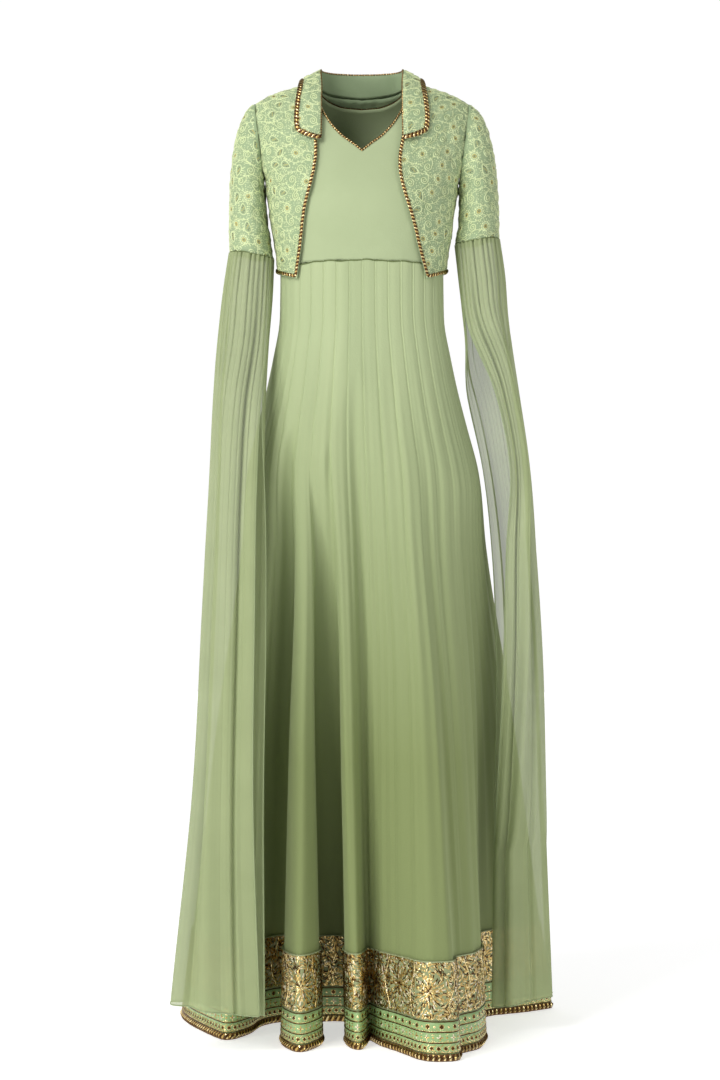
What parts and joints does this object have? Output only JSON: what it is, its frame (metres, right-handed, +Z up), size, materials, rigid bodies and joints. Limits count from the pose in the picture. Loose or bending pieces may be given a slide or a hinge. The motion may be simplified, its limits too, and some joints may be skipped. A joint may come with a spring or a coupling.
{
  "type": "anarkali suit",
  "caption": "Floor-length panelled anarkali gown with V neck and bead-worked hem border, worn under a cropped open embroidered jacket with long sheer slit sleeves.",
  "frame": {"origin": "Midway between the two points where the shoulder seams meet the gown's neck, where the wearer carries the suit.", "axes": "+Z up, +X to the wearer's left, -Y to the front."},
  "size_m": [0.6065, 0.6297, 1.5131],
  "materials": {
    "gown_georgette": "matt crinkled georgette",
    "jacket_embroidered": "georgette closely embroidered with pale thread",
    "sleeve_sheer_georgette": "sheer gathered georgette",
    "gold_bead_band": "gold bead embroidery on net",
    "green_band": "satin with gold bead lines",
    "bead_cord": "gold and dark bugle beads"
  },
  "bodies": {
    "root": {"bodice_front": "gown_georgette", "bodice_back": "gown_georgette", "neck_piping": "bead_cord", "skirt_kali_01": "gown_georgette", "skirt_kali_02": "gown_georgette", "skirt_kali_03": "gown_georgette", "skirt_kali_04": "gown_georgette", "skirt_kali_05": "gown_georgette", "skirt_kali_06": "gown_georgette", "skirt_kali_07": "gown_georgette", "skirt_kali_08": "gown_georgette", "skirt_kali_09": "gown_georgette", "skirt_kali_10": "gown_georgette", "skirt_kali_11": "gown_georgette", "skirt_kali_12": "gown_georgette", "skirt_kali_13": "gown_georgette", "skirt_kali_14": "gown_georgette", "skirt_kali_15": "gown_georgette", "skirt_kali_16": "gown_georgette", "skirt_kali_17": "gown_georgette", "skirt_kali_18": "gown_georgette", "skirt_kali_19": "gown_georgette", "skirt_kali_20": "gown_georgette", "skirt_kali_21": "gown_georgette", "skirt_kali_22": "gown_georgette", "skirt_kali_23": "gown_georgette", "skirt_kali_24": "gown_georgette", "skirt_kali_25": "gown_georgette", "skirt_kali_26": "gown_georgette", "skirt_kali_27": "gown_georgette", "skirt_kali_28": "gown_georgette", "skirt_kali_29": "gown_georgette", "skirt_kali_30": "gown_georgette", "skirt_kali_31": "gown_georgette", "skirt_kali_32": "gown_georgette", "skirt_kali_33": "gown_georgette", "skirt_kali_34": "gown_georgette", "skirt_kali_35": "gown_georgette", "skirt_kali_36": "gown_georgette", "hem_gold_band": "gold_bead_band", "hem_green_band": "green_band", "hem_lace": "bead_cord", "jacket_front_left": "jacket_embroidered", "jacket_front_right": "jacket_embroidered", "jacket_back": "jacket_embroidered", "jacket_collar": "jacket_embroidered", "cord_front_left": "bead_cord", "cord_front_right": "bead_cord", "cord_hem_back": "bead_cord", "cord_collar": "bead_cord", "sleeve_upper_left": "jacket_embroidered", "sleeve_upper_right": "jacket_embroidered", "sleeve_lower_left": "sleeve_sheer_georgette", "sleeve_lower_right": "sleeve_sheer_georgette"}
  },
  "joints": []
}
